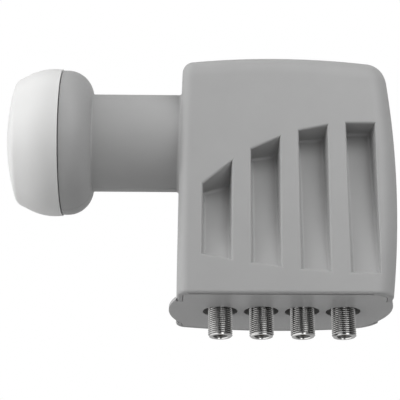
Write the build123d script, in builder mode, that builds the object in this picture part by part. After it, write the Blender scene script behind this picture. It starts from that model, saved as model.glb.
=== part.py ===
from build123d import *
import os
from math import asin, cos, degrees, hypot, radians, sin, sqrt, tan

os.makedirs("parts", exist_ok=True)

# Satellite LNB with four outputs, in millimetres.
# The feed axis is X, with the radome cap at -X and the housing at +X.
# The connectors point down along -Z and the fluted front face looks towards -Y.
# The origin is on the feed axis, in the middle of the clamping neck.

# Clamping neck and collar, moulded in two halves with the housing
cover_wall = 2.2
neck_radius = 20.0
neck_length = 36.0
collar_radius = 29.65
collar_round = 10.35
collar_rim = 1.7
crease_round = 0.8
neck_foot_round = 1.0
neck_foot_samples = 4
edge_tolerance = 0.02

# Radome cap and its seal
cap_radius = 30.1
cap_wall = 2.0
cap_length = 22.85
cap_straight = 8.0
cap_crown = 0.35
cap_cone_angle = 27.0
cap_dome_radius = 79.0
cap_shoulder_round = 22.0
cap_edge_round = 3.5
cap_seam_gap = 0.4
cap_clearance = 0.25
spigot_length = 5.0
spigot_wall = 3.0
seal_section_radius = 0.9
seal_gap = 0.1
seal_groove_play = 0.2

# Housing, measured from the feed axis
front_depth = 24.5
rear_room = 0.75
housing_drop = 71.8
housing_rise = 31.15
housing_width = 84.95
left_radius = 3000.0
left_crest_reach = 1.66
left_crest_z = -89.0
crown_radius = 310.0
crown_offset = 39.0
side_radius = 390.0
side_crest_z = -15.5
rear_radius = 135.0
top_front_round = 11.0
left_round = 4.5
right_round = 8.6
rear_corner_round = 13.0
bottom_round = 1.1
front_rim = 1.2
parting_gap = 0.16
least_round = 0.3

# Flutes in the front face
flute_count = 4
flute_margin = 8.5
flute_width = 11.5
flute_left_lean = 0.7
flute_right_lean = 1.0
flute_depth = 10.5
flute_foot_depth = 1.5
flute_draft = 0.6
flute_twist = 0.3
flute_floor_round = 1.2
flute_edge_round = 0.8
flute_edge_steps = 3
flute_top_drop = 1.3
flute_top_radius = 87.2
flute_top_inset = 13.8
flute_foot_rise = 8.1
flute_foot_radius = 332.0
flute_foot_inset = 5.8

# Connector plate
plate_thickness = 3.0
plate_clearance = 0.2
port_hole_radius = 6.8
ear_thickness = 1.2
ear_radius = 37.0
ear_centre_y = -1.7
left_ear_reach = 2.95
right_ear_reach = 1.75
ear_front = 17.0
notch_front = 13.4
notch_rear = 16.6

# F connectors
port_count = 4
port_pitch = 16.08
port_reach = 10.2
thread_radius = 4.76
thread_chamfer = 0.6
relief_radius = 4.3
relief_margin = 0.3
port_bore_radius = 2.9
flange_radius = 6.4
flange_thickness = 2.0
flange_gap = 1.8
shank_radius = 4.4
shank_clearance = 0.1
shank_tail = 1.0
insulator_recess = 0.6
insulator_clearance = 0.05
contact_radius = 1.0
contact_bore_radius = 0.5
contact_bore_depth = 7.0
contact_recess = 0.9
contact_clearance = 0.05
lead_radius = 0.5
lead_rise = 5.0
lead_bend = 2.0
lead_tail = 1.0
seal_width = 1.0
seal_play = 0.1

# Die casting with horn, waveguide and box
casting_gap = 0.8
casting_wall = 2.0
waveguide_radius = 8.9
waveguide_wall = 2.5
ring_clearance = 0.2
ring_width = 3.0
ring_spacing = 24.0
horn_clearance = 1.0
horn_length = 22.0
horn_throat = 8.0
horn_cap_gap = 3.0
groove_depth = 9.0
groove_width = 4.2
groove_wall = 1.6
box_left_gap = 2.3
box_right_gap = 6.1
box_top_gap = 7.95
box_corner = 3.0
backshort_length = 20.0

# Board, lid and their screws
board_lift = 1.2
board_thickness = 1.0
board_margin = 0.6
board_headroom = 3.4
boss_radius = 2.6
boss_inset = 3.4
board_boss_inset = 13.0
board_boss_rise = 14.0
board_boss_drop = 7.0
gasket_thickness = 0.8
gasket_width = 1.4
lid_inset = 0.3
lid_thickness = 1.5
screw_radius = 1.4
screw_clearance = 0.1
screw_head_radius = 2.4
screw_head_height = 1.5
screw_length = 7.0
screw_tip_room = 1.0

# Probes and the taller parts on the board
probe_radius = 0.6
probe_clearance = 0.1
probe_tip = 3.0
probe_tail = 1.2
probe_rise = 3.1
probe_bend = 1.5
probe_first = 6.5
probe_spacing = 6.0
bead_radius = 1.6
bead_clearance = 0.05
bead_length = 3.1
resonator_radius = 3.0
resonator_height = 2.4
resonator_pitch = 8.5
chip_size = 7.0
chip_height = 0.9
chip_pitch = 13.0
regulator_width = 6.6
regulator_height = 2.3

# Values worked out from the driving dimensions
far = 400.0
neck_left = -neck_length / 2
housing_left = neck_length / 2
housing_right = housing_left + housing_width
housing_bottom = -housing_drop
neck_bore = neck_radius - cover_wall
collar_centre_radius = collar_radius - collar_round
collar_drop = neck_radius - collar_centre_radius
collar_centre_x = neck_left - sqrt(collar_round**2 - collar_drop**2)
collar_left = collar_centre_x - collar_rim
spigot_left = collar_left - spigot_length
spigot_radius = cap_radius - cap_wall - cap_clearance
spigot_bore = spigot_radius - spigot_wall
left_crest_x = housing_left - left_crest_reach
bottom_left = left_crest_x + left_radius - sqrt(left_radius**2 - (housing_bottom - left_crest_z) ** 2)
bottom_right = housing_right - side_radius + sqrt(side_radius**2 - (housing_bottom - side_crest_z) ** 2)
plate_top = housing_bottom + plate_thickness
port_tip = housing_bottom - port_reach
relief_bottom = plate_top - relief_margin
flange_bottom = plate_top + flange_gap
flange_top = flange_bottom + flange_thickness
box_bottom = flange_top
box_top = housing_rise - cover_wall - box_top_gap
box_left = housing_left + cover_wall + box_left_gap
box_right = housing_right - cover_wall - box_right_gap
box_front = casting_gap - (front_depth - flute_depth - cover_wall)
box_middle_x = (box_left + box_right) / 2
box_middle_z = (box_bottom + box_top) / 2
box_width = box_right - box_left
box_height = box_top - box_bottom
waveguide_outer = waveguide_radius + waveguide_wall
board_front = waveguide_outer + board_lift
board_rear = board_front + board_thickness
box_rim = board_rear + board_headroom
lid_front = box_rim + gasket_thickness
lid_rear = lid_front + lid_thickness
crest_x = housing_left + crown_offset
lid_screw_columns = (box_left + boss_inset, box_right - boss_inset)
screw_reach = max(abs(x - crest_x) for x in lid_screw_columns) + screw_head_radius
rear_bulge = rear_radius - sqrt((rear_radius - cover_wall) ** 2 - screw_reach**2)
rear_depth = lid_rear + screw_head_height + rear_room + rear_bulge
shank_top = box_bottom + casting_wall + shank_tail
lead_height = shank_top + lead_rise
port_middle = (bottom_left + bottom_right) / 2
rim_left = bottom_left + left_round
rim_right = bottom_right - right_round
rim_front = front_rim - front_depth
ports = [port_middle + (number - (port_count - 1) / 2) * port_pitch for number in range(port_count)]
flute_pitch = (housing_width - 2 * flute_margin - flute_width) / (flute_count - 1)
vertical_probe_x = box_left + probe_first
horizontal_probe_x = vertical_probe_x + probe_spacing
probe_corner_z = waveguide_outer + probe_rise
cap_rim = collar_left - cap_seam_gap
cap_apex = collar_left - cap_length
cone_start = cap_rim - cap_straight
cone_slope = tan(radians(cap_cone_angle))
shoulder_radius = cap_radius + cap_crown
dome_centre = cap_apex + cap_dome_radius
dome_reach = cone_start - dome_centre + shoulder_radius * cone_slope
dome_excess = (cone_start - dome_centre) ** 2 + shoulder_radius**2 - cap_dome_radius**2
cone_run = (dome_reach + sqrt(dome_reach**2 - (1 + cone_slope**2) * dome_excess)) / (1 + cone_slope**2)
cap_edge_x = cone_start - cone_run
cap_edge_radius = shoulder_radius - cone_run * cone_slope
horn_radius = spigot_bore - horn_clearance
horn_mouth = cap_apex + cap_wall + horn_radius**2 / (2 * cap_dome_radius) + horn_cap_gap
horn_base = horn_mouth + horn_length
seal_x = collar_left - spigot_length / 2
seal_radius = spigot_radius + cap_clearance - seal_gap - seal_section_radius
seal_seat = seal_radius - seal_section_radius - seal_groove_play


# Housing as a closed block, with each face but the bottom moved inwards by the inset.
# The right round runs on from the front corner over the top and along the rear's upper edge.
def housing_form(inset, bottom, foot_round=0.0):
    with BuildPart() as form:
        with BuildSketch(Plane.XZ) as view:
            with Locations((0, (bottom + far) / 2)):
                Rectangle(2 * far, far - bottom)
            with Locations((crest_x, housing_rise - crown_radius)):
                Circle(crown_radius - inset, mode=Mode.INTERSECT)
            with Locations((housing_right - side_radius, side_crest_z)):
                Circle(side_radius - inset, mode=Mode.INTERSECT)
            with Locations((left_crest_x + left_radius, left_crest_z)):
                Circle(left_radius - inset, mode=Mode.INTERSECT)
        extrude(view.sketch, amount=front_depth - inset)
        extrude(view.sketch, amount=-2 * rear_depth)
        with BuildSketch(Plane.XY) as plan:
            with Locations((crest_x, rear_depth - rear_radius)):
                Circle(rear_radius - inset)
        extrude(plan.sketch, amount=far, both=True, mode=Mode.INTERSECT)
        front_face = form.faces().sort_by(Axis.Y)[0]
        fillet(front_face.edges().sort_by(Axis.Z)[-1], max(top_front_round - inset, least_round))
        rear_face = form.faces().sort_by(Axis.Y)[-1]
        fillet(rear_face.edges().sort_by(Axis.X)[-1], max(rear_corner_round - inset, least_round))
        right_face = form.faces().sort_by(Axis.X)[-1]
        fillet(right_face.edges().sort_by(Axis.Z)[-1], max(right_round - inset, least_round))
        left_face = form.faces().sort_by(Axis.X)[0]
        fillet(left_face.edges().sort_by(Axis.Z)[1:], max(left_round - inset, least_round))
        if foot_round:
            fillet(form.faces().sort_by(Axis.Z)[0].edges(), foot_round)
    return form.part


# Heights of the flutes' ends: the upper arc hangs below the feed axis, the lower one stands on the bottom
def flute_top(x):
    run = x - (housing_right - flute_top_inset)
    return sqrt(flute_top_radius**2 - run**2) - flute_top_radius - flute_top_drop


def flute_foot(x):
    run = x - (housing_right - flute_foot_inset)
    return housing_bottom + flute_foot_rise + flute_foot_radius - sqrt(flute_foot_radius**2 - run**2)


# One flute as a solid: its mouth in the face, its floor rising towards the face at the foot
def flute_form(number, grow):
    left = housing_left + flute_margin + number * flute_pitch
    right = left + flute_width
    left_tilt = tan(radians(flute_left_lean))
    right_tilt = tan(radians(flute_right_lean))
    head_left = flute_top(left)
    head_right = flute_top(right)
    foot_left = flute_foot(left)
    foot_right = flute_foot(right)
    floor_right = head_left + flute_twist * (head_right - head_left)
    slope = (flute_depth - flute_foot_depth) / (floor_right - foot_right)
    mouth = [
        (left + head_left * left_tilt, head_left),
        (right + head_right * right_tilt, head_right),
        (right + foot_right * right_tilt, foot_right),
        (left + foot_left * left_tilt, foot_left),
    ]
    floor = [
        (left + head_left * left_tilt + flute_draft, head_left),
        (right + floor_right * right_tilt - flute_draft, floor_right),
        (right + foot_right * right_tilt - flute_draft, foot_right),
        (left + foot_left * left_tilt + flute_draft, foot_left),
    ]
    outward = [(-1, 1), (1, 1), (1, -1), (-1, -1)]
    mouth_points = []
    floor_points = []
    for (x, z), (side, end) in zip(mouth, outward):
        mouth_points.append(Vector(x + side * grow, -front_depth, z + end * grow))
    for (x, z), (side, end) in zip(floor, outward):
        height = z + end * grow
        depth = flute_foot_depth + slope * (height - grow - foot_right) + grow
        floor_points.append(Vector(x + side * grow, depth - front_depth, height))
    with BuildPart() as flute:
        outlines = (mouth_points, floor_points)
        loft(sections=[Face(Wire.make_polygon(points)) for points in outlines], ruled=True)
        if not grow:
            fillet(flute.faces().sort_by(Axis.Y)[-1].edges(), flute_floor_round)
            lip = [flute_lip(outlines, outward, step) for step in range(flute_edge_steps + 1)]
            loft(sections=lip, ruled=True)
    return flute.part


# One step of the rounded lip between the face and a flute's walls
def flute_lip(outlines, outward, step):
    angle = radians(90 * step / flute_edge_steps)
    depth = flute_edge_round * (1 - cos(angle))
    spread = flute_edge_round * (1 - sin(angle))
    points = []
    for top, base, (side, end) in zip(*outlines, outward):
        on_wall = top + (base - top) * (depth / (base.Y - top.Y))
        points.append(on_wall + Vector(side * spread, 0, end * spread))
    return Face(Wire.make_polygon(points))


# Straight slab between two heights, to keep or remove a layer of a form
def layer(bottom, height):
    with BuildPart() as slab:
        with BuildSketch(Plane.XY.offset(bottom)):
            Rectangle(2 * far, 2 * far)
        extrude(amount=height)
    return slab.part


# Room in the covers' side walls that the plate's ears pass through
def ear_passage(clearance):
    with BuildPart() as passage:
        with BuildSketch(Plane.XY.offset(housing_bottom - plate_thickness)):
            with BuildLine():
                Polyline(
                    (-far, clearance - notch_front),
                    (far, clearance - notch_front),
                    (far, notch_rear - clearance),
                    (-far, notch_rear - clearance),
                    close=True,
                )
            make_face()
        extrude(amount=plate_thickness + ear_thickness + plate_clearance - clearance)
    return passage.part


# Front lip of the plate, which sits in a rebate behind the front cover's lower rim
def plate_lip(clearance, bottom):
    with BuildPart() as lip:
        with BuildSketch(Plane.XY.offset(bottom)):
            with BuildLine():
                Polyline(
                    (rim_left + clearance, rim_front + clearance),
                    (rim_right - clearance, rim_front + clearance),
                    (rim_right - clearance, rim_front + cover_wall),
                    (rim_left + clearance, rim_front + cover_wall),
                    close=True,
                )
            make_face()
        extrude(amount=plate_top - bottom)
    return lip.part


# True for an edge where the neck runs into the housing
def at_neck_foot(edge):
    points = [edge @ (share / neck_foot_samples) for share in range(1, neck_foot_samples)]
    return all(abs(hypot(p.Y, p.Z) - neck_radius) < edge_tolerance and p.X > 0 for p in points)


# Both covers in one, before they are parted along the plane of the feed axis
with BuildPart() as cover_shell:
    add(housing_form(0.0, housing_bottom, bottom_round))
    with BuildSketch(Plane.XZ) as neck_profile:
        with BuildLine():
            Polyline(
                (housing_left + cover_wall / 2, neck_radius),
                (housing_left + cover_wall / 2, 0),
                (spigot_left, 0),
                (spigot_left, spigot_radius),
                (collar_left, spigot_radius),
                (collar_left, collar_radius),
                (collar_centre_x, collar_radius),
            )
            collar_end = degrees(asin(collar_drop / collar_round))
            CenterArc((collar_centre_x, collar_centre_radius), collar_round, 90, collar_end - 90)
            Line((neck_left, neck_radius), (housing_left + cover_wall / 2, neck_radius))
        make_face()
        crease = neck_profile.vertices().sort_by_distance((neck_left, neck_radius, 0))[0]
        fillet(crease, crease_round)
    revolve(axis=Axis.X)
    fillet(cover_shell.edges().filter_by(at_neck_foot), neck_foot_round)
    add(housing_form(cover_wall, housing_bottom - cover_wall), mode=Mode.SUBTRACT)
    with BuildSketch(Plane.XZ):
        with BuildLine():
            Polyline(
                (spigot_left - cover_wall, 0),
                (spigot_left - cover_wall, spigot_bore),
                (collar_centre_x, spigot_bore),
                (neck_left, neck_bore),
                (housing_left + 2 * cover_wall, neck_bore),
                (housing_left + 2 * cover_wall, 0),
                close=True,
            )
        make_face()
        with Locations((seal_x, seal_seat + spigot_wall / 2)):
            Rectangle(2 * (seal_section_radius + seal_groove_play), spigot_wall)
    revolve(axis=Axis.X, mode=Mode.SUBTRACT)
    add(ear_passage(0.0), mode=Mode.SUBTRACT)
    add(plate_lip(0.0, housing_bottom - cover_wall), mode=Mode.SUBTRACT)

# Material behind the flutes, which keeps their walls as thick as the cover's
with BuildPart() as flute_backs:
    for number in range(flute_count):
        add(flute_form(number, cover_wall))
    add(housing_form(0.0, housing_bottom), mode=Mode.INTERSECT)

with BuildPart() as front_cover:
    add(cover_shell.part)
    split(bisect_by=Plane.XZ.offset(parting_gap / 2), keep=Keep.TOP)
    add(flute_backs.part)
    for number in range(flute_count):
        add(flute_form(number, 0.0), mode=Mode.SUBTRACT)
front_cover.part.label = "front_cover"
export_step(front_cover.part, "parts/front_cover.step")

with BuildPart() as rear_cover:
    add(cover_shell.part)
    split(bisect_by=Plane.XZ.offset(-parting_gap / 2), keep=Keep.BOTTOM)
rear_cover.part.label = "rear_cover"
export_step(rear_cover.part, "parts/rear_cover.step")

# Feet of the covers' walls in front of and behind the ears, with clearance
with BuildPart() as cover_feet:
    add(housing_form(-plate_clearance, housing_bottom - plate_thickness))
    inner_form = housing_form(cover_wall + plate_clearance, housing_bottom - 2 * plate_thickness)
    add(inner_form, mode=Mode.SUBTRACT)
    add(layer(housing_bottom - plate_thickness, 3 * plate_thickness), mode=Mode.INTERSECT)
    add(ear_passage(plate_clearance), mode=Mode.SUBTRACT)

with BuildPart() as connector_plate:
    add(housing_form(cover_wall + plate_clearance, housing_bottom))
    add(layer(housing_bottom, plate_thickness), mode=Mode.INTERSECT)
    for tip, inward in ((bottom_left - left_ear_reach, 1), (bottom_right + right_ear_reach, -1)):
        with BuildSketch(Plane.XY.offset(housing_bottom)):
            with Locations((tip + inward * ear_radius, ear_centre_y)):
                Circle(ear_radius)
            with BuildLine():
                Polyline(
                    (tip, -ear_front),
                    (port_middle, -ear_front),
                    (port_middle, notch_rear - plate_clearance),
                    (tip, notch_rear - plate_clearance),
                    close=True,
                )
            make_face(mode=Mode.INTERSECT)
        extrude(amount=ear_thickness)
    add(cover_feet.part, mode=Mode.SUBTRACT)
    add(plate_lip(plate_clearance, housing_bottom))
    with BuildSketch(Plane.XY.offset(housing_bottom)):
        with Locations(*[(x, 0) for x in ports]):
            Circle(port_hole_radius)
    extrude(amount=plate_thickness, mode=Mode.SUBTRACT)
connector_plate.part.label = "connector_plate"
export_step(connector_plate.part, "parts/connector_plate.step")

with BuildPart() as radome_cap:
    with BuildSketch(Plane.XZ) as cap_profile:
        with BuildLine():
            Polyline(
                (cap_apex, 0),
                (cap_rim, 0),
                (cap_rim, cap_radius),
                (cone_start, shoulder_radius),
                (cap_edge_x, cap_edge_radius),
            )
            dome_half_angle = degrees(asin(cap_edge_radius / cap_dome_radius))
            CenterArc((dome_centre, 0), cap_dome_radius, 180 - dome_half_angle, dome_half_angle)
        make_face()
        corners = cap_profile.vertices()
        fillet(corners.sort_by_distance((cone_start, shoulder_radius, 0))[0], cap_shoulder_round)
        corners = cap_profile.vertices()
        fillet(corners.sort_by_distance((cap_edge_x, cap_edge_radius, 0))[0], cap_edge_round)
    revolve(axis=Axis.X)
    offset(amount=-cap_wall, openings=radome_cap.faces().sort_by(Axis.X)[-1])
radome_cap.part.label = "radome_cap"
export_step(radome_cap.part, "parts/radome_cap.step")

with BuildPart() as cap_seal:
    with BuildSketch(Plane.XZ):
        with Locations((seal_x, seal_radius)):
            Circle(seal_section_radius)
    revolve(axis=Axis.X)
cap_seal.part.label = "cap_seal"
export_step(cap_seal.part, "parts/cap_seal.step")

# Die casting: horn with two choke grooves, waveguide with centring rings, and the open box
lid_screw_rows = (box_bottom + boss_inset, box_top - boss_inset)
lid_screw_places = [(x, z) for x in lid_screw_columns for z in lid_screw_rows]
board_screw_columns = (box_middle_x - board_boss_inset, box_middle_x + board_boss_inset)
board_screw_rows = (box_bottom + board_boss_rise, box_top - board_boss_drop)
board_screw_places = [(x, z) for x in board_screw_columns for z in board_screw_rows]


def box_sketch(inset, y):
    with BuildSketch(Plane.XZ.offset(-y)) as outline:
        with Locations((box_middle_x, box_middle_z)):
            corner = max(box_corner - inset, least_round)
            RectangleRounded(box_width - 2 * inset, box_height - 2 * inset, corner)
    return outline.sketch


with BuildPart() as feed_casting:
    extrude(box_sketch(0.0, box_front), amount=box_front - box_rim)
    hollow = box_sketch(casting_wall, box_front + casting_wall)
    extrude(hollow, amount=box_front - box_rim, mode=Mode.SUBTRACT)
    with BuildSketch(Plane.XZ.offset(-box_front)):
        with Locations(*lid_screw_places):
            Circle(boss_radius)
    extrude(amount=box_front - box_rim)
    with BuildSketch(Plane.XZ.offset(-box_front)):
        with Locations(*board_screw_places):
            Circle(boss_radius)
    extrude(amount=box_front - board_front)
    with BuildSketch(Plane.XZ):
        with BuildLine():
            Polyline(
                (horn_mouth, 0),
                (horn_mouth, horn_radius),
                (horn_base - horn_throat, horn_radius),
                (horn_base, waveguide_outer),
                (box_left + backshort_length, waveguide_outer),
                (box_left + backshort_length, 0),
                close=True,
            )
        make_face()
        for x in (-ring_spacing / 2, ring_spacing / 2):
            with Locations((x, (neck_bore - ring_clearance) / 2)):
                Rectangle(ring_width, neck_bore - ring_clearance)
    revolve(axis=Axis.X)
    with BuildSketch(Plane.XZ):
        bore_length = box_left + backshort_length - waveguide_wall - horn_mouth
        with Locations((horn_mouth + bore_length / 2, waveguide_radius / 2)):
            Rectangle(bore_length, waveguide_radius)
        for number in (0, 1):
            groove_inner = waveguide_radius + groove_wall + number * (groove_width + groove_wall)
            with Locations((horn_mouth + groove_depth / 2, groove_inner + groove_width / 2)):
                Rectangle(groove_depth, groove_width)
    revolve(axis=Axis.X, mode=Mode.SUBTRACT)
    with BuildSketch(Plane.XY.offset(box_bottom)):
        with Locations(*[(x, 0) for x in ports]):
            Circle(shank_radius + shank_clearance)
    extrude(amount=casting_wall, mode=Mode.SUBTRACT)
    with BuildSketch(Plane.XZ):
        with Locations((vertical_probe_x, 0)):
            Circle(bead_radius + bead_clearance)
    extrude(amount=-board_front, mode=Mode.SUBTRACT)
    with BuildSketch(Plane.XY):
        with Locations((horizontal_probe_x, 0)):
            Circle(bead_radius + bead_clearance)
    extrude(amount=board_front, mode=Mode.SUBTRACT)
    with BuildSketch(Plane.XZ.offset(-box_rim)):
        with Locations(*lid_screw_places):
            Circle(screw_radius + screw_clearance)
    extrude(amount=screw_length + screw_tip_room, mode=Mode.SUBTRACT)
    with BuildSketch(Plane.XZ.offset(-board_front)):
        with Locations(*board_screw_places):
            Circle(screw_radius + screw_clearance)
    extrude(amount=screw_length + screw_tip_room, mode=Mode.SUBTRACT)
feed_casting.part.label = "feed_casting"
export_step(feed_casting.part, "parts/feed_casting.step")

with BuildPart() as lid_gasket:
    extrude(box_sketch(lid_inset, box_rim), amount=-gasket_thickness)
    extrude(box_sketch(lid_inset + gasket_width, box_rim), amount=-gasket_thickness, mode=Mode.SUBTRACT)
lid_gasket.part.label = "lid_gasket"
export_step(lid_gasket.part, "parts/lid_gasket.step")

with BuildPart() as casting_lid:
    extrude(box_sketch(lid_inset, lid_front), amount=-lid_thickness)
    with BuildSketch(Plane.XZ.offset(-lid_front)):
        with Locations(*lid_screw_places):
            Circle(screw_radius + screw_clearance)
    extrude(amount=-lid_thickness, mode=Mode.SUBTRACT)
casting_lid.part.label = "casting_lid"
export_step(casting_lid.part, "parts/casting_lid.step")


# A group of equal screws with their heads on a plane at y
def screw_group(places, y):
    with BuildPart() as screws:
        with BuildSketch(Plane.XZ.offset(-y)):
            with Locations(*places):
                Circle(screw_head_radius)
        extrude(amount=-screw_head_height)
        with BuildSketch(Plane.XZ.offset(-y)):
            with Locations(*places):
                Circle(screw_radius)
        extrude(amount=screw_length)
    return screws.part


with BuildPart() as lid_screws:
    add(screw_group(lid_screw_places, lid_rear))
lid_screws.part.label = "lid_screws"
export_step(lid_screws.part, "parts/lid_screws.step")

with BuildPart() as board_screws:
    add(screw_group(board_screw_places, board_rear))
board_screws.part.label = "board_screws"
export_step(board_screws.part, "parts/board_screws.step")

with BuildPart() as circuit_board:
    extrude(box_sketch(casting_wall + board_margin, board_front), amount=-board_thickness)
    with BuildSketch(Plane.XZ.offset(-board_front)):
        with Locations(*lid_screw_places):
            Circle(boss_radius + board_margin)
        with Locations(*board_screw_places):
            Circle(screw_radius + screw_clearance)
        with Locations((vertical_probe_x, 0), (horizontal_probe_x, probe_corner_z)):
            Circle(probe_radius + probe_clearance)
        with Locations(*[(x, lead_height) for x in ports]):
            Circle(lead_radius + probe_clearance)
    extrude(amount=-board_thickness, mode=Mode.SUBTRACT)
circuit_board.part.label = "circuit_board"
export_step(circuit_board.part, "parts/circuit_board.step")

with BuildPart() as probe_vertical:
    with BuildSketch(Plane.XZ.offset(-probe_tip)):
        with Locations((vertical_probe_x, 0)):
            Circle(probe_radius)
    extrude(amount=probe_tip - board_rear - probe_tail)
probe_vertical.part.label = "probe_vertical"
export_step(probe_vertical.part, "parts/probe_vertical.step")

with BuildPart() as probe_horizontal:
    with BuildLine() as probe_path:
        FilletPolyline(
            (horizontal_probe_x, 0, probe_tip),
            (horizontal_probe_x, 0, probe_corner_z),
            (horizontal_probe_x, board_rear + probe_tail, probe_corner_z),
            radius=probe_bend,
        )
    with BuildSketch(Plane((horizontal_probe_x, 0, probe_tip))):
        Circle(probe_radius)
    sweep(path=probe_path.line)
probe_horizontal.part.label = "probe_horizontal"
export_step(probe_horizontal.part, "parts/probe_horizontal.step")

for name, plane, x in (
    ("probe_bead_vertical", Plane.XZ.offset(-waveguide_radius), vertical_probe_x),
    ("probe_bead_horizontal", Plane.XY.offset(waveguide_radius), horizontal_probe_x),
):
    with BuildPart() as probe_bead:
        with BuildSketch(plane):
            with Locations((x, 0)):
                Circle(bead_radius)
                Circle(probe_radius + bead_clearance, mode=Mode.SUBTRACT)
        extrude(amount=bead_length if plane.z_dir.Z > 0 else -bead_length)
    probe_bead.part.label = name
    export_step(probe_bead.part, "parts/" + name + ".step")

with BuildPart() as resonators:
    with BuildSketch(Plane.XZ.offset(-board_rear)):
        with Locations((box_middle_x, box_top - board_boss_inset)):
            with GridLocations(resonator_pitch, resonator_pitch, 2, 2):
                Circle(resonator_radius)
    extrude(amount=-resonator_height)
resonators.part.label = "resonators"
export_step(resonators.part, "parts/resonators.step")

with BuildPart() as chips:
    with BuildSketch(Plane.XZ.offset(-board_rear)):
        with Locations((box_middle_x, box_middle_z)):
            with GridLocations(chip_pitch, 0, 3, 1):
                Rectangle(chip_size, chip_size)
    extrude(amount=-chip_height)
chips.part.label = "chips"
export_step(chips.part, "parts/chips.step")

with BuildPart() as regulator:
    with BuildSketch(Plane.XZ.offset(-board_rear)):
        with Locations((box_middle_x, box_bottom + board_boss_rise)):
            Rectangle(regulator_width, regulator_width)
    extrude(amount=-regulator_height)
regulator.part.label = "regulator"
export_step(regulator.part, "parts/regulator.step")

# Four equal F connectors, each a barrel, an insulator, a contact and a flat seal
for number, x in enumerate(ports, 1):
    axis = Axis((x, 0, 0), (0, 0, 1))
    section = Plane(origin=(x, 0, 0), x_dir=(1, 0, 0), z_dir=(0, -1, 0))

    with BuildPart() as f_barrel:
        with BuildSketch(section):
            with BuildLine():
                Polyline(
                    (port_bore_radius, port_tip),
                    (thread_radius - thread_chamfer, port_tip),
                    (thread_radius, port_tip + thread_chamfer),
                    (thread_radius, relief_bottom),
                    (relief_radius, relief_bottom),
                    (relief_radius, flange_bottom),
                    (flange_radius, flange_bottom),
                    (flange_radius, flange_top),
                    (shank_radius, flange_top),
                    (shank_radius, shank_top),
                    (port_bore_radius, shank_top),
                    close=True,
                )
            make_face()
        revolve(axis=axis)
    f_barrel.part.label = f"f_barrel_{number}"
    export_step(f_barrel.part, f"parts/f_barrel_{number}.step")

    with BuildPart() as f_insulator:
        with BuildSketch(Plane((x, 0, port_tip + insulator_recess))):
            Circle(port_bore_radius - insulator_clearance)
            Circle(contact_radius + contact_clearance, mode=Mode.SUBTRACT)
        extrude(amount=shank_top - port_tip - insulator_recess)
    f_insulator.part.label = f"f_insulator_{number}"
    export_step(f_insulator.part, f"parts/f_insulator_{number}.step")

    with BuildPart() as f_contact:
        with BuildSketch(Plane((x, 0, port_tip + contact_recess))):
            Circle(contact_radius)
        extrude(amount=shank_top - port_tip - contact_recess)
        with BuildSketch(Plane((x, 0, port_tip + contact_recess))):
            Circle(contact_bore_radius)
        extrude(amount=contact_bore_depth, mode=Mode.SUBTRACT)
        with BuildLine() as lead_path:
            FilletPolyline(
                (x, 0, shank_top),
                (x, 0, lead_height),
                (x, board_rear + lead_tail, lead_height),
                radius=lead_bend,
            )
        with BuildSketch(Plane((x, 0, shank_top))):
            Circle(lead_radius)
        sweep(path=lead_path.line)
    f_contact.part.label = f"f_contact_{number}"
    export_step(f_contact.part, f"parts/f_contact_{number}.step")

    with BuildPart() as f_seal:
        with BuildSketch(Plane((x, 0, plate_top))):
            Circle(port_hole_radius + seal_width)
            Circle(thread_radius + seal_play, mode=Mode.SUBTRACT)
        extrude(amount=flange_gap)
    f_seal.part.label = f"f_seal_{number}"
    export_step(f_seal.part, f"parts/f_seal_{number}.step")
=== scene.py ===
import math

import bmesh
import bpy
from mathutils import Matrix, Vector


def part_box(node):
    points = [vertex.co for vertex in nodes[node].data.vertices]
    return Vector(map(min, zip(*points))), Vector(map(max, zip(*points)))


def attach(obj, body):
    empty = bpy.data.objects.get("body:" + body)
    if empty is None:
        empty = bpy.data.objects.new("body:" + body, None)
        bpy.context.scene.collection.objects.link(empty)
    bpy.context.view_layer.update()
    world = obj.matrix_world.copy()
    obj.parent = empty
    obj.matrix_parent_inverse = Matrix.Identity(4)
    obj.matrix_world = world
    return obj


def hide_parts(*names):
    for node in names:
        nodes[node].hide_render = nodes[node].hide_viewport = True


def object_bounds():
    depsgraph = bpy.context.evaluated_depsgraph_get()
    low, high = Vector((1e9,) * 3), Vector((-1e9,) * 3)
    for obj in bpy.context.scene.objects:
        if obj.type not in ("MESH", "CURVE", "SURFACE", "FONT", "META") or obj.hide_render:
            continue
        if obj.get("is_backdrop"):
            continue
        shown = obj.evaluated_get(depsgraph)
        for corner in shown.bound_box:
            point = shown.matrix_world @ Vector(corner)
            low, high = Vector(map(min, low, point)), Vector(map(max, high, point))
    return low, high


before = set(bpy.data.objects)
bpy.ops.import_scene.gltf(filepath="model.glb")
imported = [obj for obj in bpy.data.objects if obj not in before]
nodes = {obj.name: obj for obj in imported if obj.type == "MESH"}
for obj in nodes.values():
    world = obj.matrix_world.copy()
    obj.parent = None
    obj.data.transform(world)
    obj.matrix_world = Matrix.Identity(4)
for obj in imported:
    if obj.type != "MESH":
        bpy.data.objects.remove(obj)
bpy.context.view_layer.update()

scene = bpy.context.scene
MM = 0.001
PORTS = (1, 2, 3, 4)


# Colours with full opacity
def grey(level):
    return (level, level, level, 1)


def scaled(colour, factor=1.0):
    return (*(part * factor for part in colour), 1)


# Node tree helpers, with a Mix node's sockets for colours and the range that most noise stays in
MIX_FIRST = 6
MIX_SECOND = 7
MIX_RESULT = 2
NOISE_LOW = 0.3
NOISE_HIGH = 0.7


def empty_tree(owner, output_type):
    owner.use_nodes = True
    tree = owner.node_tree
    tree.nodes.clear()
    return tree, tree.nodes.new(output_type).inputs["Surface"]


def new_material(name):
    material = bpy.data.materials.new(name)
    tree, surface = empty_tree(material, "ShaderNodeOutputMaterial")
    shader = tree.nodes.new("ShaderNodeBsdfPrincipled")
    tree.links.new(shader.outputs["BSDF"], surface)
    return material, tree, shader


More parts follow.
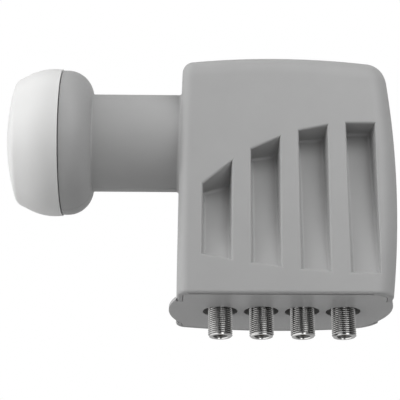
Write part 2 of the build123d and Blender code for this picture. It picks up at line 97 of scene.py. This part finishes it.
# A socket takes either another node's output or a plain value
def feed(tree, socket, value):
    if isinstance(value, bpy.types.NodeSocket):
        tree.links.new(value, socket)
    else:
        socket.default_value = value


def object_coordinates(tree):
    return tree.nodes.new("ShaderNodeTexCoord").outputs["Object"]


def noise(tree, vector, scale, detail=2.0):
    node = tree.nodes.new("ShaderNodeTexNoise")
    node.inputs["Scale"].default_value = scale
    node.inputs["Detail"].default_value = detail
    tree.links.new(vector, node.inputs["Vector"])
    return node.outputs["Fac"]


def stretch(tree, vector, factors):
    node = tree.nodes.new("ShaderNodeVectorMath")
    node.operation = "MULTIPLY"
    node.inputs[1].default_value = factors
    tree.links.new(vector, node.inputs[0])
    return node.outputs["Vector"]


def length(tree, vector):
    node = tree.nodes.new("ShaderNodeVectorMath")
    node.operation = "LENGTH"
    tree.links.new(vector, node.inputs[0])
    return node.outputs["Value"]


def maths(tree, operation, first, second):
    node = tree.nodes.new("ShaderNodeMath")
    node.operation = operation
    feed(tree, node.inputs[0], first)
    feed(tree, node.inputs[1], second)
    return node.outputs["Value"]


def remap(tree, value, low, high, from_low=NOISE_LOW, from_high=NOISE_HIGH):
    node = tree.nodes.new("ShaderNodeMapRange")
    node.inputs["From Min"].default_value = from_low
    node.inputs["From Max"].default_value = from_high
    node.inputs["To Min"].default_value = low
    node.inputs["To Max"].default_value = high
    tree.links.new(value, node.inputs["Value"])
    return node.outputs["Result"]


def blend_colours(tree, factor, first, second):
    node = tree.nodes.new("ShaderNodeMix")
    node.data_type = "RGBA"
    tree.links.new(factor, node.inputs["Factor"])
    feed(tree, node.inputs[MIX_FIRST], first)
    feed(tree, node.inputs[MIX_SECOND], second)
    return node.outputs[MIX_RESULT]


def mix_shaders(tree, factor, first, second):
    node = tree.nodes.new("ShaderNodeMixShader")
    tree.links.new(factor, node.inputs["Fac"])
    tree.links.new(first, node.inputs[1])
    tree.links.new(second, node.inputs[2])
    return node.outputs["Shader"]


def coloured(tree, node_type, colour):
    node = tree.nodes.new(node_type)
    feed(tree, node.inputs["Color"], colour)
    return node.outputs[0]


def bump(tree, shader, height, strength, distance):
    node = tree.nodes.new("ShaderNodeBump")
    node.inputs["Strength"].default_value = strength
    node.inputs["Distance"].default_value = distance
    tree.links.new(height, node.inputs["Height"])
    tree.links.new(node.outputs["Normal"], shader.inputs["Normal"])


# Materials: noise scales are per metre, depths in millimetres
MOTTLE_DETAIL = 3.0
PLASTIC_MOTTLE_SCALE = 60.0
PLASTIC_GLOSS_SCALE = 900.0
GRAIN_STRENGTH = 0.5
METAL_MOTTLE_SCALE = 1400.0
TURNING_SCALES = (300.0, 300.0, 9000.0)
TURNING_STRENGTH = 0.3
TURNING_DEPTH = 0.004
# Name of the mesh attribute that carries painted shade in the thread's roots
PAINTED_ROOT_SHADE = "painted_root_shade"


def moulded_plastic(name, colour, spread, rough_low, rough_high, grain_scale, grain_depth):
    material, tree, shader = new_material(name)
    place = object_coordinates(tree)
    tone = remap(tree, noise(tree, place, PLASTIC_MOTTLE_SCALE, MOTTLE_DETAIL), 0, 1)
    mottled = blend_colours(tree, tone, scaled(colour, 1 - spread), scaled(colour, 1 + spread))
    tree.links.new(mottled, shader.inputs["Base Color"])
    rough = remap(tree, noise(tree, place, PLASTIC_GLOSS_SCALE), rough_low, rough_high)
    tree.links.new(rough, shader.inputs["Roughness"])
    bump(tree, shader, noise(tree, place, grain_scale), GRAIN_STRENGTH, grain_depth * MM)
    return material


# With a second colour, the metal is darkened towards it where the mesh says that it is sunk: painted
# shade in the thread's roots
def plated_metal(name, colour, spread, rough_low, rough_high, painted_root_shade_colour=None):
    material, tree, shader = new_material(name)
    place = object_coordinates(tree)
    tone = remap(tree, noise(tree, place, METAL_MOTTLE_SCALE, MOTTLE_DETAIL), 0, 1)
    plated = blend_colours(tree, tone, scaled(colour, 1 - spread), scaled(colour))
    if painted_root_shade_colour:
        painted_root_shade = tree.nodes.new("ShaderNodeAttribute")
        painted_root_shade.attribute_name = PAINTED_ROOT_SHADE
        plated = blend_colours(tree, painted_root_shade.outputs["Fac"], plated, scaled(painted_root_shade_colour))
    tree.links.new(plated, shader.inputs["Base Color"])
    turned = noise(tree, stretch(tree, place, TURNING_SCALES), 1.0)
    tree.links.new(remap(tree, turned, rough_low, rough_high), shader.inputs["Roughness"])
    shader.inputs["Metallic"].default_value = 1.0
    bump(tree, shader, turned, TURNING_STRENGTH, TURNING_DEPTH * MM)
    return material


# Colour, spread of its tone, lowest and highest roughness, then the scale and depth of a plastic's grain
cover_plastic = moulded_plastic("cover_plastic", (0.333, 0.333, 0.333), 0.02, 0.42, 0.52, 4200.0, 0.02)
plate_plastic = moulded_plastic("plate_plastic", (0.37, 0.37, 0.37), 0.015, 0.34, 0.4, 5000.0, 0.0005)
cap_plastic = moulded_plastic("cap_plastic", (0.66, 0.66, 0.655), 0.012, 0.34, 0.42, 3200.0, 0.01)
insulator_plastic = moulded_plastic("insulator_plastic", (0.04, 0.04, 0.04), 0.05, 0.4, 0.5, 3000.0, 0.01)
seal_rubber = moulded_plastic("seal_rubber", (0.025, 0.025, 0.025), 0.1, 0.6, 0.75, 2600.0, 0.02)
board_mask = moulded_plastic("board_mask", (0.04, 0.18, 0.08), 0.15, 0.25, 0.4, 1500.0, 0.01)
ceramic = moulded_plastic("ceramic", (0.68, 0.6, 0.48), 0.06, 0.35, 0.5, 2400.0, 0.01)
chip_plastic = moulded_plastic("chip_plastic", (0.03, 0.03, 0.032), 0.12, 0.4, 0.55, 3500.0, 0.01)
# The nickel's last colour is painted shade, laid into the thread's roots
nickel = plated_metal("nickel", (0.7, 0.695, 0.685), 0.08, 0.09, 0.16, (0.18, 0.18, 0.18))
contact_bronze = plated_metal("contact_bronze", (0.75, 0.6, 0.34), 0.1, 0.2, 0.35)
cast_metal = plated_metal("cast_metal", (0.6, 0.6, 0.61), 0.15, 0.45, 0.6)
screw_steel = plated_metal("screw_steel", (0.56, 0.56, 0.57), 0.1, 0.25, 0.4)

finishes = {
    "front_cover": cover_plastic, "rear_cover": cover_plastic, "connector_plate": plate_plastic,
    "radome_cap": cap_plastic, "cap_seal": seal_rubber, "lid_gasket": seal_rubber,
    "feed_casting": cast_metal, "casting_lid": cast_metal, "lid_screws": screw_steel,
    "board_screws": screw_steel, "circuit_board": board_mask, "resonators": ceramic,
    "chips": chip_plastic, "regulator": chip_plastic, "probe_vertical": contact_bronze,
    "probe_horizontal": contact_bronze, "probe_bead_vertical": ceramic, "probe_bead_horizontal": ceramic,
}
for number in PORTS:
    finishes[f"f_barrel_{number}"] = nickel
    finishes[f"f_insulator_{number}"] = insulator_plastic
    finishes[f"f_contact_{number}"] = contact_bronze
    finishes[f"f_seal_{number}"] = seal_rubber
for name, material in finishes.items():
    node = nodes[name]
    node.data.materials.clear()
    node.data.materials.append(material)


# Connector barrels with a cut thread, in millimetres
THREAD_PITCH = 0.79375
THREAD_DEPTH = 0.44
# Heights over one pitch, from 1 on the crest to 0 at the root
THREAD_SHAPE = (1.0, 1.0, 0.5, 0.0, 0.0, 0.5)
THREAD_STEPS = len(THREAD_SHAPE)
# The part of a turn at which each barrel's thread starts
THREAD_PHASES = (0.0, 0.45, 0.9, 0.1)
THREAD_RADIUS = 4.76
ROWS_PER_PITCH = 9
RING_POINTS = 96
SMOOTH_RING = (0.0,) * RING_POINTS
TIP_CHAMFER = 0.45
TIP_RADIUS = THREAD_RADIUS - TIP_CHAMFER
BORE_RADIUS = 2.9
MOUTH_RADIUS = 3.15
MOUTH_CHAMFER = 0.3
FLANGE_RADIUS = 6.4
FLANGE_THICKNESS = 2.0
SHANK_RADIUS = 4.4
RUNOUT = 1.2
OUTSIDE_THREAD = (THREAD_RADIUS + FLANGE_RADIUS) / 2
SHARP_ANGLE = math.radians(35)


# The flange's underside is the lowest place outside the thread
def flange_level(node, centre_x, centre_y):
    levels = []
    for vertex in node.data.vertices:
        place = node.matrix_world @ vertex.co / MM
        if math.hypot(place.x - centre_x, place.y - centre_y) > OUTSIDE_THREAD:
            levels.append(place.z)
    return min(levels)


def thread_height(turns):
    phase = turns % 1.0 * THREAD_STEPS
    index = int(phase)
    here = THREAD_SHAPE[index % THREAD_STEPS]
    there = THREAD_SHAPE[(index + 1) % THREAD_STEPS]
    return here + (there - here) * (phase - index)


def barrel_mesh(name, node, low, high, thread_phase):
    centre_x = (low.x + high.x) / 2 / MM
    centre_y = (low.y + high.y) / 2 / MM
    tip = low.z / MM
    top = high.z / MM
    flange_bottom = flange_level(node, centre_x, centre_y)
    flange_top = flange_bottom + FLANGE_THICKNESS
    start = tip + TIP_CHAMFER
    end = flange_bottom - RUNOUT
    mesh = bmesh.new()
    painted_root_shade = mesh.verts.layers.float.new(PAINTED_ROOT_SHADE)

    # How far each point of a ring is sunk: 0 on the crest, 1 at the root, less where the thread runs out
    def thread_sunk(z):
        fade = min(1.0, (end - z) / RUNOUT)
        risen = (z - start) / THREAD_PITCH
        turns = [risen - step / RING_POINTS + thread_phase for step in range(RING_POINTS)]
        return [fade * (1 - thread_height(turn)) for turn in turns]

    def ring(z, radius, sunk=SMOOTH_RING):
        points = []
        for step, share in enumerate(sunk):
            angle = 2 * math.pi * step / RING_POINTS
            reach = radius - THREAD_DEPTH * share
            x = centre_x + reach * math.cos(angle)
            y = centre_y + reach * math.sin(angle)
            point = mesh.verts.new(Vector((x, y, z)) * MM)
            # The sunk share is also stored on the point, so that the nickel takes painted shade in the
            # thread's roots
            point[painted_root_shade] = share
            points.append(point)
        return points

    count = int((end - start) / THREAD_PITCH * ROWS_PER_PITCH)
    heights = [start + (end - start) * row / count for row in range(count + 1)]
    loops = [
        ring(top, BORE_RADIUS),
        ring(tip + MOUTH_CHAMFER, BORE_RADIUS),
        ring(tip, MOUTH_RADIUS),
        ring(tip, TIP_RADIUS),
        *(ring(z, THREAD_RADIUS, thread_sunk(z)) for z in heights),
        ring(flange_bottom, THREAD_RADIUS),
        ring(flange_bottom, FLANGE_RADIUS),
        ring(flange_top, FLANGE_RADIUS),
        ring(flange_top, SHANK_RADIUS),
        ring(top, SHANK_RADIUS),
    ]
    for first, second in zip(loops, loops[1:] + loops[:1]):
        for step in range(RING_POINTS):
            other = (step + 1) % RING_POINTS
            mesh.faces.new((first[step], first[other], second[other], second[step]))
    bmesh.ops.recalc_face_normals(mesh, faces=mesh.faces)
    data = bpy.data.meshes.new(name)
    mesh.to_mesh(data)
    mesh.free()
    for polygon in data.polygons:
        polygon.use_smooth = True
    data.set_sharp_from_angle(angle=SHARP_ANGLE)
    return data


for number, thread_phase in zip(PORTS, THREAD_PHASES):
    low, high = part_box(f"f_barrel_{number}")
    name = f"threaded_barrel_{number}"
    data = barrel_mesh(name, nodes[f"f_barrel_{number}"], low, high, thread_phase)
    barrel = bpy.data.objects.new(name, data)
    scene.collection.objects.link(barrel)
    barrel.data.materials.append(nickel)
    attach(barrel, "root")
    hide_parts(f"f_barrel_{number}")


# Connector plate with the wider shadow gap that shows behind the front rim, in millimetres
GAP_WIDENING = 0.75
FRONT_TOLERANCE = 0.01

plate_node = nodes["connector_plate"]
plate_data = plate_node.data.copy()
plate_data.transform(plate_node.matrix_world)
front = min(vertex.co.y for vertex in plate_data.vertices)
for vertex in plate_data.vertices:
    if vertex.co.y < front + FRONT_TOLERANCE * MM:
        vertex.co.y += GAP_WIDENING * MM
plate = bpy.data.objects.new("gapped_plate", plate_data)
scene.collection.objects.link(plate)
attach(plate, "root")
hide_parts("connector_plate")


# Pale floor, in metres: it bounces light as a darker grey, and fades to white for the camera alone
FLOOR_Z = -0.62
FLOOR_RADIUS = 3.0
FLOOR_SEGMENTS = 96
FLOOR_LEVEL = 0.86
FLOOR_BOUNCE_LEVEL = 0.64
FADE_START = 0.3
FADE_END = 2.2


def floor_paper():
    material = bpy.data.materials.new("floor_paper")
    tree, surface = empty_tree(material, "ShaderNodeOutputMaterial")
    path = tree.nodes.new("ShaderNodeLightPath")
    bright = coloured(tree, "ShaderNodeBsdfDiffuse", grey(FLOOR_LEVEL))
    dim = coloured(tree, "ShaderNodeBsdfDiffuse", grey(FLOOR_BOUNCE_LEVEL))
    paper = mix_shaders(tree, path.outputs["Is Diffuse Ray"], bright, dim)
    rim = remap(tree, length(tree, object_coordinates(tree)), 0, 1, FADE_START, FADE_END)
    fade = maths(tree, "MULTIPLY", rim, path.outputs["Is Camera Ray"])
    blank = coloured(tree, "ShaderNodeEmission", grey(1))
    tree.links.new(mix_shaders(tree, fade, paper, blank), surface)
    return material


floor_mesh = bmesh.new()
bmesh.ops.create_circle(floor_mesh, cap_ends=True, segments=FLOOR_SEGMENTS, radius=FLOOR_RADIUS)
floor_data = bpy.data.meshes.new("floor")
floor_mesh.to_mesh(floor_data)
floor_mesh.free()
floor = bpy.data.objects.new("floor", floor_data)
floor.location = (0, 0, FLOOR_Z)
floor.visible_glossy = False
floor.data.materials.append(floor_paper())
scene.collection.objects.link(floor)
floor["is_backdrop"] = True


# World: even light, white behind the object, and light and dark panels that glossy surfaces mirror
SKY_LEVEL = 0.323
GROUND_LEVEL = 0.25
# Heights of a direction, from 1 up to -1 down, at which the mirrored ground starts and is full
GROUND_START = -0.45
GROUND_FULL = -0.85
# Compass place and level: 0 and 1 are behind, 0.25 is left, 0.5 in front and 0.75 right
STUDIO_STOPS = (
    (0.00, 0.48), (0.10, 0.70), (0.16, 1.30), (0.37, 1.45), (0.44, 0.12), (0.51, 0.08),
    (0.55, 1.95), (0.61, 1.95), (0.65, 0.12), (0.73, 0.14), (0.86, 0.48), (1.00, 0.48),
)


def compass(tree, direction):
    towards_front = maths(tree, "MULTIPLY", direction.outputs["Y"], -1)
    angle = maths(tree, "ARCTAN2", direction.outputs["X"], towards_front)
    return remap(tree, angle, 0, 1, -math.pi, math.pi)


def studio_panels(tree, direction):
    node = tree.nodes.new("ShaderNodeValToRGB")
    stops = node.color_ramp.elements
    for place, level in STUDIO_STOPS[1:-1]:
        stops.new(place)
    for stop, (place, level) in zip(stops, STUDIO_STOPS):
        stop.color = grey(level)
    tree.links.new(compass(tree, direction), node.inputs["Fac"])
    return node.outputs["Color"]


def studio_world():
    world = bpy.data.worlds.new("studio")
    tree, surface = empty_tree(world, "ShaderNodeOutputWorld")
    path = tree.nodes.new("ShaderNodeLightPath")
    direction = tree.nodes.new("ShaderNodeSeparateXYZ")
    tree.links.new(tree.nodes.new("ShaderNodeTexCoord").outputs["Generated"], direction.inputs["Vector"])
    ground = remap(tree, direction.outputs["Z"], GROUND_LEVEL, 0, GROUND_FULL, GROUND_START)
    panels = maths(tree, "MAXIMUM", studio_panels(tree, direction), ground)
    white = coloured(tree, "ShaderNodeBackground", grey(1))
    sky = coloured(tree, "ShaderNodeBackground", grey(SKY_LEVEL))
    mirrored = coloured(tree, "ShaderNodeBackground", panels)
    seen = mix_shaders(tree, path.outputs["Is Glossy Ray"], sky, mirrored)
    seen = mix_shaders(tree, path.outputs["Is Transmission Ray"], seen, white)
    seen = mix_shaders(tree, path.outputs["Is Camera Ray"], seen, white)
    tree.links.new(seen, surface)
    return world


scene.world = studio_world()


# Soft boxes: angles in degrees, azimuth 0 in front and 90 right, lengths in metres, power in watts
AIM = Vector((0.02, 0.0, -0.02))


def soft_box(name, azimuth, elevation, distance, width, height, power):
    turn = math.radians(azimuth)
    rise = math.radians(elevation)
    data = bpy.data.lights.new(name, "AREA")
    data.shape = "RECTANGLE"
    data.size = width
    data.size_y = height
    data.energy = power
    lamp = bpy.data.objects.new(name, data)
    out = Vector((math.sin(turn) * math.cos(rise), -math.cos(turn) * math.cos(rise), math.sin(rise)))
    lamp.location = AIM + out * distance
    lamp.rotation_mode = "QUATERNION"
    lamp.rotation_quaternion = out.to_track_quat("Z", "Y")
    lamp.visible_glossy = False
    scene.collection.objects.link(lamp)


soft_box("left_box", -42, 28, 0.67, 0.55, 0.55, 1.35)
soft_box("right_box", 38, 28, 0.67, 0.55, 0.55, 2.95)
soft_box("side_box", -78, 8, 1.1, 0.8, 0.8, 8.6)
soft_box("rear_box", 165, 20, 1.3, 1.0, 1.0, 7.0)


# Camera at the photograph's viewing angle: lens and sensor in millimetres, the clips in metres
CAMERA_PLACE = Vector((14.03, -455.40, -206.85)) * MM
CAMERA_YAW = math.radians(-1.479)
CAMERA_PITCH = math.radians(21.768)
CAMERA_ROLL = math.radians(-0.188)
CAMERA_LENS = 108.92
CAMERA_SENSOR = 36.0
CLIP_NEAR = 0.01
CLIP_FAR = 20.0

ahead = Vector((-math.sin(CAMERA_YAW) * math.cos(CAMERA_PITCH),
                math.cos(CAMERA_YAW) * math.cos(CAMERA_PITCH),
                math.sin(CAMERA_PITCH)))
right = ahead.cross(Vector((0, 0, 1))).normalized()
up = right.cross(ahead)
turned_right = right * math.cos(CAMERA_ROLL) + up * math.sin(CAMERA_ROLL)
turned_up = up * math.cos(CAMERA_ROLL) - right * math.sin(CAMERA_ROLL)
camera_data = bpy.data.cameras.new("camera")
camera_data.sensor_width = CAMERA_SENSOR
camera_data.lens = CAMERA_LENS
camera_data.clip_start = CLIP_NEAR
camera_data.clip_end = CLIP_FAR
camera = bpy.data.objects.new("camera", camera_data)
pose = Matrix((turned_right, turned_up, -ahead)).transposed().to_4x4()
pose.translation = CAMERA_PLACE
camera.matrix_world = pose
scene.collection.objects.link(camera)
scene.camera = camera
scene.view_settings.view_transform = "Standard"

low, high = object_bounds()
